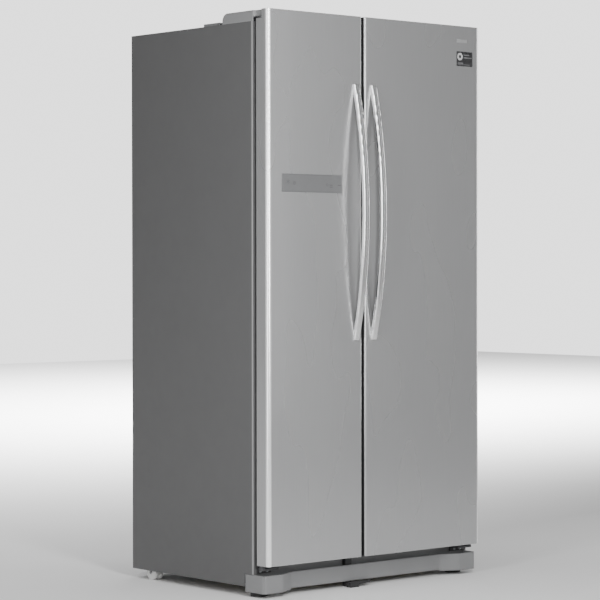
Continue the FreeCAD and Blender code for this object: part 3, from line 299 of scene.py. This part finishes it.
def clear_plastic():
    """Transparent moulded bins with a faint haze."""
    m = Shader("clear_plastic", (0.86, 0.93, 0.96), 0.08, Transmission_Weight=0.88, IOR=1.49)
    m.tint(m.noise(9.0, 3.0), 0.03)
    m.wear(m.noise(40.0, 3.0), 0.05)
    m.relief(m.noise(30.0, 2.0), 0.0003, 0.15)
    return m.material


def tempered_glass():
    """Float glass with a green cast and a slight ripple."""
    m = Shader("tempered_glass", (0.80, 0.93, 0.89), 0.03, Transmission_Weight=0.94, IOR=1.52)
    m.tint(m.noise(5.0, 2.0), 0.03)
    m.wear(m.noise(60.0, 4.0), 0.03)
    m.relief(m.noise(8.0, 1.0), 0.0002, 0.08)
    return m.material


def rolled_aluminium():
    """Bare mill-finish sheet with a fine grain."""
    m = Shader("fin_aluminium", (0.82, 0.83, 0.84), 0.35, metallic=1.0)
    grain = m.noise(70.0, 4.0, (4.0, 4.0, 4.0))
    m.tint(grain, 0.05)
    m.wear(grain, 0.05)
    m.relief(grain, 0.00003, 0.3)
    return m.material


def handle_metal():
    """Satin metal bars with painted shade on the face towards the door."""
    m = Shader("handle_metal", (0.95, 0.95, 0.955), 0.2, metallic=1.0)
    grain = m.noise(70.0, 4.0, (30.0, 30.0, 0.6))
    plain = m.tones(grain, 0.05)
    # painted shade: faces turned towards the door are darkened, as the shade between handle and
    # door would be
    facing = m.node("ShaderNodeSeparateXYZ")
    m.link(m.node("ShaderNodeTexCoord").outputs["Normal"], facing.inputs["Vector"])
    inner = m.spread(facing.outputs["Y"], 0.0, 1.0, *HANDLE_SHADE_FACING)
    m.cover(m.blend(inner, plain, HANDLE_BACK_SHADE_COLOUR))
    m.wear(grain, 0.04)
    m.relief(grain, 0.00002, 0.15)
    return m.material


def galvanised():
    """Zinc-coated sheet with its spangle."""
    m = Shader("galvanised_steel", (0.50, 0.515, 0.53), 0.42, metallic=0.85)
    spangle = m.cells(90.0)
    m.tint(spangle, 0.14)
    m.wear(spangle, 0.10)
    m.relief(m.noise(300.0, 2.0), 0.0001, 0.2)
    return m.material


def foam():
    """Poured polyurethane foam: open cells and a skin of uneven colour."""
    m = Shader("foam", (0.80, 0.72, 0.48), 0.9, Subsurface_Weight=0.05)
    m.tint(m.noise(18.0, 5.0), 0.12)
    m.wear(m.noise(40.0, 3.0), 0.05)
    m.relief(m.cells(700.0), 0.0006, 0.8)
    return m.material


def soft_rubber(name, colour, roughness):
    """Matt rubber with a faint bloom."""
    m = Shader(name, colour, roughness, Sheen_Weight=0.15)
    m.tint(m.noise(22.0, 4.0), 0.15)
    m.wear(m.noise(35.0, 3.0), 0.08)
    m.relief(m.noise(900.0, 2.0), 0.0002, 0.4)
    return m.material


def lamp_lens():
    """A frosted lens with fine prisms."""
    m = Shader("lamp_lens", (0.95, 0.95, 0.92), 0.35, Transmission_Weight=0.35,
               Emission_Strength=0.6)
    m.surface.inputs["Emission Color"].default_value = (1.0, 0.97, 0.9, 1.0)
    ribs = m.node("ShaderNodeTexWave", wave_type="BANDS", bands_direction="X")
    ribs.inputs["Scale"].default_value = 60.0
    m.link(m.place(), ribs.inputs["Vector"])
    m.tint(m.noise(20.0, 3.0), 0.02)
    m.relief(ribs.outputs["Fac"], 0.0008, 0.6)
    return m.material


def display_face():
    """A satin printed panel, a little darker towards its long edges."""
    low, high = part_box("control_panel")
    m = Shader("display_plastic", (0.142, 0.144, 0.147), 0.38,
               Coat_Weight=0.3, Coat_Roughness=0.25)
    middle, half = (low.z + high.z) / 2, (high.z - low.z) / 2
    edge = m.spread(m.apart(m.along("Z"), middle), 0.0, 1.0, half * PANEL_PLAIN_SHARE, half)
    m.cover(m.blend(edge, m.tones(m.noise(40.0, 3.0), 0.03), PANEL_EDGE_COLOUR))
    m.relief(m.noise(1500.0, 2.0), 0.00006, 0.2)
    return m.material


MATERIALS = {
    "door_steel": door_steel(),
    "cabinet_paint": cabinet_enamel(),
    "frame_paint": painted("frame_paint", (0.30, 0.303, 0.306), 0.42, coat=0.2),
    "galvanised_steel": galvanised(),
    "hinge_steel": painted("hinge_steel", (0.05, 0.05, 0.053), 0.38, peel=0.0001),
    "handle_metal": handle_metal(),
    "grey_plastic": moulded("grey_plastic", (0.215, 0.217, 0.22), 0.5, variation=0.025, edge=0.005),
    "dark_plastic": moulded("dark_plastic", (0.02, 0.02, 0.021), 0.45),
    "display_plastic": display_face(),
    "liner_plastic": sheet_plastic("liner_plastic", (0.82, 0.83, 0.83), 0.3),
    "clear_plastic": clear_plastic(),
    "white_plastic": moulded("white_plastic", (0.80, 0.81, 0.81), 0.42, variation=0.02),
    "trim_plastic": moulded("trim_plastic", (0.62, 0.64, 0.66), 0.3, variation=0.03),
    "tempered_glass": tempered_glass(),
    "foam": foam(),
    "gasket_rubber": soft_rubber("gasket_rubber", (0.045, 0.045, 0.047), 0.6),
    "foot_rubber": soft_rubber("foot_rubber", (0.015, 0.015, 0.015), 0.55),
    "roller_plastic": moulded("roller_plastic", (0.60, 0.60, 0.59), 0.45),
    "lamp_lens": lamp_lens(),
    "fin_aluminium": rolled_aluminium(),
    "compressor_paint": painted("compressor_paint", (0.012, 0.012, 0.012), 0.3, coat=0.4),
    "coil_paint": painted("coil_paint", (0.02, 0.02, 0.021), 0.4),
    "backing_board": painted("backing_board", (0.50, 0.51, 0.52), 0.5),
    "door_plate": painted("door_plate", (0.30, 0.302, 0.305), 0.4, peel=0.00005),
    "rail_paint": painted("rail_paint", (0.18, 0.182, 0.185), 0.45),
}


def dress(piece, material):
    """Give a mesh one material on all its faces."""
    piece.data.materials.clear()
    piece.data.materials.append(material)
    for face in piece.data.polygons:
        face.material_index = 0


for entry in frame["record"]["subparts"]:
    dress(NODES[entry["node"]], MATERIALS[entry["material_slot"]])
for node, finish in (("base_frame", "rail_paint"), ("harness_cover", "grey_plastic")):
    dress(NODES[node], MATERIALS[finish])


# ----------------------------------------------------------- mesh helpers

SHARP_ANGLE = math.radians(32)
CORNER_STEPS = 6
TUBE_ROUNDNESS = 5
TUBE_STEPS = 10


def put(name, bm, body, material):
    """Turn a bmesh into a smooth-shaded piece that rides on a body."""
    bmesh.ops.recalc_face_normals(bm, faces=bm.faces)
    mesh = bpy.data.meshes.new(name)
    bm.to_mesh(mesh)
    bm.free()
    piece = bpy.data.objects.new(name, mesh)
    bpy.context.scene.collection.objects.link(piece)
    dress(piece, material)
    mesh.shade_smooth()
    mesh.set_sharp_from_angle(angle=SHARP_ANGLE)
    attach(piece, body)
    return piece


def add_block(bm, low, high, radius, steps):
    """A box with all its edges rounded."""
    low, high = Vector(low), Vector(high)
    centre = Matrix.Translation((low + high) / 2)
    size = Matrix.Diagonal((*(high - low), 1.0))
    made = bmesh.ops.create_cube(bm, size=1.0, matrix=centre @ size)
    edges = {edge for vert in made["verts"] for edge in vert.link_edges}
    bmesh.ops.bevel(bm, geom=list(edges), offset=radius, segments=steps,
                    affect="EDGES", profile=0.5)


def add_outline(bm, points, depth):
    """A flat closed outline in X and Z at the front, thickened towards the back."""
    front = [bm.verts.new(point) for point in points]
    face = bm.faces.new(front)
    grown = bmesh.ops.extrude_face_region(bm, geom=[face])
    moved = [item for item in grown["geom"] if isinstance(item, bmesh.types.BMVert)]
    bmesh.ops.translate(bm, vec=(0, depth, 0), verts=moved)


def rounded_outline(low, high, radius, y):
    """Corner points of a rounded rectangle in X and Z."""
    points = []
    for corner, (cx, cz) in enumerate(((high[0] - radius, high[1] - radius),
                                       (low[0] + radius, high[1] - radius),
                                       (low[0] + radius, low[1] + radius),
                                       (high[0] - radius, low[1] + radius))):
        for step in range(CORNER_STEPS + 1):
            angle = math.pi / 2 * (corner + step / CORNER_STEPS)
            points.append((cx + radius * math.cos(angle), y, cz + radius * math.sin(angle)))
    return points


def add_ring(bm, centre, outer, inner, depth, count=40):
    """A flat ring that faces the front."""
    loops = []
    for radius, back in ((outer, 0.0), (inner, 0.0), (inner, depth), (outer, depth)):
        loops.append([bm.verts.new((centre[0] + radius * math.cos(2 * math.pi * n / count),
                                    centre[1] + back,
                                    centre[2] + radius * math.sin(2 * math.pi * n / count)))
                      for n in range(count)])
    for here, there in zip(loops, loops[1:] + loops[:1]):
        for n in range(count):
            after = (n + 1) % count
            bm.faces.new((here[n], here[after], there[after], there[n]))


def add_turned(bm, centre, axis, profile, count=32):
    """A solid of revolution: (along, radius) pairs turned round an axis."""
    turn = Vector((0, 0, 1)).rotation_difference(Vector(axis)).to_matrix()
    loops = []
    for along, radius in profile:
        loops.append([bm.verts.new(Vector(centre) + turn @ Vector(
            (radius * math.cos(2 * math.pi * n / count),
             radius * math.sin(2 * math.pi * n / count), along))) for n in range(count)])
    for here, there in zip(loops, loops[1:]):
        for n in range(count):
            after = (n + 1) % count
            bm.faces.new((here[n], here[after], there[after], there[n]))
    bm.faces.new(loops[0])
    bm.faces.new(loops[-1])


def add_hex_screw(bm, centre, axis, across):
    """A hex head on a round flange."""
    add_turned(bm, centre, axis, ((0.0, across * 0.72), (0.0008, across * 0.72),
                                  (0.0014, across * 0.5)))
    add_turned(bm, centre, axis, ((0.0008, across * 0.5), (0.0042, across * 0.5),
                                  (0.005, across * 0.42)), count=6)


def add_flat_screw(bm, centre, axis, radius):
    """A low domed head with a round recess in its middle."""
    add_turned(bm, centre, axis, ((0.0, radius), (0.0003, radius), (0.0007, radius * 0.75),
                                  (0.0007, radius * 0.35), (0.0002, radius * 0.25)))


def pipe(name, points, radius, body, material):
    """A round tube along a smooth line through given points, as a mesh."""
    curve = bpy.data.curves.new(name + "_line", "CURVE")
    curve.dimensions = "3D"
    curve.bevel_depth = radius
    curve.bevel_resolution = TUBE_ROUNDNESS
    curve.resolution_u = TUBE_STEPS
    curve.use_fill_caps = True
    spline = curve.splines.new("NURBS")
    spline.points.add(len(points) - 1)
    for point, place in zip(spline.points, points):
        point.co = (*place, 1.0)
    spline.order_u = 3
    spline.use_endpoint_u = True
    line = bpy.data.objects.new(name + "_line", curve)
    mesh = bpy.data.meshes.new_from_object(line)
    bpy.data.objects.remove(line)
    piece = bpy.data.objects.new(name, mesh)
    bpy.context.scene.collection.objects.link(piece)
    dress(piece, material)
    mesh.shade_smooth()
    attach(piece, body)


# ---------------------------------------------------------- door furniture

# lower left and upper right corners on the fridge door's face
STICKER = ((0.348, 1.659), (0.4206, 1.7065))
MAKER_PLATE = ((0.349, 1.7350), (0.395, 1.7470))

FILM_PROUD = 0.00035
FILM_THICK = 0.0003
INK_PROUD = 0.00015
INK_THICK = 0.0002

# left, right, down from the top and tall, in from the sticker's upper left corner
STICKER_BARS = ((0.0315, 0.058, 0.0105, 0.0028), (0.0315, 0.069, 0.0195, 0.0028),
                (0.006, 0.030, 0.0375, 0.0040), (0.006, 0.060, 0.0420, 0.0016))

# the gasket's pleated section: metres in from its outside, share of its depth
GASKET_WIDE = 0.014
GASKET_SECTION = ((0.0015, 0.0), (0.0125, 0.0), (0.0125, 0.15), (0.0105, 0.25),
                  (0.0128, 0.36), (0.0108, 0.48), (0.0130, 0.60), (0.0130, 1.0),
                  (0.0010, 1.0), (0.0010, 0.60), (0.0032, 0.48), (0.0012, 0.36),
                  (0.0035, 0.25), (0.0015, 0.15))

BIN_RIMS = {
    "freezer": (0.310, 0.540, 0.755, 0.985, 1.425, 1.625),
    "fridge": (0.320, 0.570, 0.810, 1.035, 1.275),
}


def display_marks():
    """Small printed touch symbols at both ends of the display."""
    low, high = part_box("control_panel")
    proud, depth = 0.00012, 0.0003
    y = low.y - proud
    middle = (low.z + high.z) / 2
    bm = bmesh.new()
    flake = Vector((low.x + 0.024, y, middle + 0.004))
    arms, half_long, half_wide = 3, 0.0075, 0.0006
    for arm in range(arms):
        angle = math.pi / arms * arm + math.pi / 2
        along = Vector((math.cos(angle), 0, math.sin(angle)))
        across = Vector((-along.z, 0, along.x)) * half_wide
        tip = along * half_long
        add_outline(bm, [flake - tip - across, flake + tip - across,
                         flake + tip + across, flake - tip + across], depth)
    for outer, inner in ((0.0052, 0.0038), (0.0014, 0.0004)):
        add_ring(bm, (low.x + 0.049, y, middle), outer, inner, depth)
    down, pitch, tall, corner = 0.005, 0.006, 0.0024, 0.001
    for x, wide, rows in ((high.x - 0.052, 0.012, 2), (high.x - 0.019, 0.014, 1)):
        for row in range(rows):
            z = middle - down - pitch * row
            add_outline(bm, rounded_outline((x, z), (x + wide, z + tall), corner, y), depth)
    add_ring(bm, (high.x - 0.062, y, middle - 0.003), 0.0042, 0.0031, depth)
    ink = Shader("mark_ink", (0.075, 0.076, 0.078), 0.5)
    ink.tint(ink.noise(300.0, 2.0), 0.06)
    put("display_marks", bm, "freezer_door", ink.material)


def door_sticker():
    """A dark glossy sticker with an empty ring and plain bars in place of its print."""
    low, high = STICKER
    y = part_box("fridge_door_skin")[0].y - FILM_PROUD
    bm = bmesh.new()
    add_outline(bm, rounded_outline(low, high, 0.003, y), FILM_THICK)
    film = Shader("sticker_film", (0.028, 0.028, 0.03), 0.3, Coat_Weight=0.5)
    film.tint(film.noise(40.0, 3.0, (1.0, 1.0, 3.0)), 0.35)
    film.wear(film.noise(90.0, 2.0), 0.06)
    put("door_sticker", bm, "fridge_door", film.material)

    bm = bmesh.new()
    y -= INK_PROUD
    add_ring(bm, (low[0] + 0.0155, y, high[1] - 0.0165), 0.0122, 0.0052, INK_THICK)
    pale = Shader("sticker_ring_ink", (0.52, 0.52, 0.525), 0.35)
    pale.tint(pale.noise(120.0, 2.0), 0.08)
    put("sticker_ring", bm, "fridge_door", pale.material)

    bm = bmesh.new()
    for left, right, down, tall in STICKER_BARS:
        z = high[1] - down
        add_outline(bm, rounded_outline((low[0] + left, z - tall / 2),
                                        (low[0] + right, z + tall / 2),
                                        tall * 0.45, y), INK_THICK)
    grey = Shader("sticker_bar_ink", (0.17, 0.17, 0.175), 0.4)
    grey.tint(grey.noise(120.0, 2.0), 0.1)
    put("sticker_bars", bm, "fridge_door", grey.material)


def maker_plate():
    """A small blank plate above the sticker."""
    (left, bottom), (right, top) = MAKER_PLATE
    proud, sunk = 0.0006, 0.0002
    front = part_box("fridge_door_skin")[0].y
    bm = bmesh.new()
    add_block(bm, (left, front - proud, bottom), (right, front + sunk, top), 0.0003, 2)
    put("maker_plate", bm, "fridge_door", MATERIALS["door_plate"])


def gasket(door):
    """A magnetic bellows seal: a square frame swept from a pleated section."""
    low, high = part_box(f"{door}_door_gasket")
    deep = high.y - low.y
    bm = bmesh.new()
    loops = []
    for sx, sz in ((-1, -1), (1, -1), (1, 1), (-1, 1)):
        corner_x = high.x if sx > 0 else low.x
        corner_z = high.z if sz > 0 else low.z
        loops.append([bm.verts.new((corner_x - sx * (GASKET_WIDE - inset),
                                    low.y + deep * along,
                                    corner_z - sz * (GASKET_WIDE - inset)))
                      for inset, along in GASKET_SECTION])
    count = len(GASKET_SECTION)
    for here, there in zip(loops, loops[1:] + loops[:1]):
        for n in range(count):
            after = (n + 1) % count
            bm.faces.new((here[n], here[after], there[after], there[n]))
    piece = put(f"{door}_gasket_bellows", bm, f"{door}_door",
                MATERIALS["gasket_rubber"])
    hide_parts(f"{door}_door_gasket")


def bin_bands(door, heights):
    """A pale moulded band along the inner top edge of each door bin."""
    low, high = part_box(f"{door}_door_bins")
    inset, tall, below_rim, sunk, proud = 0.012, 0.018, 0.002, 0.0005, 0.0022
    for n, rim in enumerate(heights):
        top = rim - below_rim
        bm = bmesh.new()
        add_block(bm, (low.x + inset, high.y - sunk, top - tall),
                  (high.x - inset, high.y + proud, top), 0.0009, 3)
        put(f"{door}_bin_band_{n}", bm, f"{door}_door",
            MATERIALS["trim_plastic"])


# ------------------------------------------------------------ machine space

def back_screws():
    """Low screws round the rear cover and down the back sheet's edges."""
    backwards, head = (0, 1, 0), 0.0055
    bm = bmesh.new()
    low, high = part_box("rear_cover")
    y = high.y - 0.0001
    in_x, in_z, count = 0.02, 0.012, 7
    for n in range(count):
        x = low.x + in_x + (high.x - low.x - 2 * in_x) * n / (count - 1)
        for z in (low.z + in_z, high.z - in_z):
            add_flat_screw(bm, (x, y, z), backwards, head)
    low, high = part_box("back_panel")
    in_x, in_z, count = 0.03, 0.04, 6
    for n in range(count):
        z = low.z + in_z + (high.z - low.z - 2 * in_z) * n / (count - 1)
        for x in (low.x + in_x, high.x - in_x):
            add_flat_screw(bm, (x, y, z), backwards, head)
    put("back_screws", bm, "cabinet", MATERIALS["galvanised_steel"])


def hinge_bolts():
    """Screws in the bottom hinge brackets."""
    bracket_thick, sunk, height, across = 0.006, 0.0003, 0.078, 0.006
    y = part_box("base_frame")[0].y - bracket_thick + sunk
    bm = bmesh.new()
    for side in ("left", "right"):
        low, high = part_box(f"bottom_hinge_{side}")
        for part in (0.35, 0.75):
            x = low.x + (high.x - low.x) * (part if side == "left" else 1 - part)
            add_hex_screw(bm, (x, y, height), (0, -1, 0), across)
    put("hinge_bolts", bm, "cabinet", MATERIALS["galvanised_steel"])


# each line's radius and the points it follows
PIPES = {
    "discharge_pipe": (0.0032, [
        (0.210, 0.210, 0.236), (0.210, 0.210, 0.262), (0.205, 0.200, 0.278),
        (0.150, 0.182, 0.281), (0.070, 0.177, 0.279), (0.024, 0.177, 0.271),
        (0.020, 0.178, 0.257), (0.020, 0.190, 0.256)]),
    "suction_pipe": (0.0036, [
        (0.240, 0.210, 0.236), (0.240, 0.210, 0.258), (0.242, 0.222, 0.272),
        (0.262, 0.262, 0.280), (0.300, 0.300, 0.284), (0.330, 0.310, 0.292),
        (0.335, 0.312, 0.3025)]),
    "drier_inlet": (0.0030, [
        (-0.190, 0.190, 0.120), (-0.190, 0.180, 0.120), (-0.206, 0.179, 0.122),
        (-0.236, 0.196, 0.124), (-0.236, 0.225, 0.132), (-0.235, 0.225, 0.152)]),
    "drier_outlet": (0.0022, [
        (-0.235, 0.225, 0.250), (-0.235, 0.225, 0.270), (-0.258, 0.238, 0.288),
        (-0.268, 0.246, 0.3025)]),
}
DRIER_FOOT = (-0.235, 0.225, 0.150)
DRIER_PROFILE = ((0.0, 0.003), (0.006, 0.004), (0.016, 0.0095), (0.085, 0.0095),
                 (0.095, 0.004), (0.102, 0.003))


def cooling_pipes():
    """Lines between the compressor, the condenser, the drier and the foam above."""
    for name, (radius, points) in PIPES.items():
        pipe(name, points, radius, "cabinet", MATERIALS["coil_paint"])
    bm = bmesh.new()
    add_turned(bm, DRIER_FOOT, (0, 0, 1), DRIER_PROFILE)
    put("filter_drier", bm, "cabinet", MATERIALS["fin_aluminium"])


# ----------------------------------------------------------------- stage

# each light's place, the point it faces, its width and height, and its watts
LIGHTS = {
    "key": ((-1.15, -2.3, 1.65), (-0.3, -0.3, 1.45), (0.4, 1.9), 56),
    "left": ((-2.7, -1.3, 1.45), (-0.45, -0.3, 1.1), (0.6, 2.4), 38),
    "front_right": ((1.5, -3.6, 1.6), (-0.4, -0.3, 1.4), (1.5, 2.6), 8),
    "fill": ((-5.4, -6.4, 2.2), (-0.2, -0.3, 0.9), (4.0, 4.0), 34),
    "right": ((3.4, -0.9, 1.3), (0.0, -0.5, 1.15), (0.6, 2.0), 30),
    "roof": ((0.0, 0.8, 4.2), (0.0, 0.8, 1.8), (1.6, 1.6), 40),
    "floor_wash": ((6.0, 5.5, 4.5), (5.0, 10.5, 0.0), (6.0, 3.0), 4000),
}
BACKDROP_STRENGTH = 2.2
AMBIENT_STRENGTH = 0.25
FLOOR_HALF_SIZE = 14.0
FLOOR_DROP = 0.0005


def make_camera():
    """Front left, at a little above mid height, with a long lens."""
    camera = bpy.data.objects.new("camera", bpy.data.cameras.new("camera"))
    bpy.context.scene.collection.objects.link(camera)
    camera.data.sensor_width = 36.0
    camera.data.lens = 136.45
    yaw, pitch, roll = math.radians(40.94), math.radians(0.907), math.radians(0.079)
    place = (-4.8794, -5.5634, 1.0169)
    turn = Matrix.Rotation(-yaw, 4, "Z") @ Matrix.Rotation(math.pi / 2 - pitch, 4, "X")
    camera.matrix_world = Matrix.Translation(place) @ turn @ Matrix.Rotation(-roll, 4, "Z")
    camera.data.clip_end = 60.0
    bpy.context.scene.camera = camera


def area_light(name, place, target, size, power):
    """A rectangular softbox that faces a point and that the camera doesn't see."""
    light = bpy.data.lights.new(name, "AREA")
    light.shape = "RECTANGLE"
    light.size, light.size_y = size
    light.energy = power
    holder = bpy.data.objects.new(name, light)
    holder.location = place
    holder.rotation_euler = (Vector(target) - Vector(place)).to_track_quat("-Z", "Y").to_euler()
    holder.visible_camera = False
    bpy.context.scene.collection.objects.link(holder)


def make_floor():
    """A plain pale floor under everything."""
    bm = bmesh.new()
    bmesh.ops.create_grid(bm, x_segments=2, y_segments=2, size=FLOOR_HALF_SIZE)
    mesh = bpy.data.meshes.new("floor")
    bm.to_mesh(mesh)
    bm.free()
    floor = bpy.data.objects.new("floor", mesh)
    floor.location = (0, 0, -FLOOR_DROP)
    bpy.context.scene.collection.objects.link(floor)
    paint = Shader("floor_paint", (0.93, 0.93, 0.93), 0.9)
    paint.tint(paint.noise(1.5, 2.0), 0.01)
    dress(floor, paint.material)


def make_lights():
    """A key and softboxes round the front, one over the roof, and a wash for the floor."""
    for name, (place, target, size, power) in LIGHTS.items():
        area_light(name, place, target, size, power)


def make_world():
    """Soft light from all round, with a paler backdrop where the view misses everything."""
    world = bpy.data.worlds.new("studio")
    bpy.context.scene.world = world
    world.use_nodes = True
    tree = world.node_tree
    shown = tree.nodes["Background"]
    shown.inputs["Strength"].default_value = BACKDROP_STRENGTH
    cast = tree.nodes.new("ShaderNodeBackground")
    cast.inputs["Strength"].default_value = AMBIENT_STRENGTH
    for backing in (shown, cast):
        backing.inputs["Color"].default_value = (1.0, 1.0, 1.0, 1.0)
    path = tree.nodes.new("ShaderNodeLightPath")
    pick = tree.nodes.new("ShaderNodeMixShader")
    tree.links.new(path.outputs["Is Camera Ray"], pick.inputs[0])
    tree.links.new(cast.outputs[0], pick.inputs[1])
    tree.links.new(shown.outputs[0], pick.inputs[2])
    tree.links.new(pick.outputs[0], tree.nodes["World Output"].inputs["Surface"])


make_camera()
make_floor()
make_world()
make_lights()

display_marks()
door_sticker()
maker_plate()
for door_name in BIN_RIMS:
    gasket(door_name)
for door_name, rims in BIN_RIMS.items():
    bin_bands(door_name, rims)
back_screws()
hinge_bolts()
cooling_pipes()
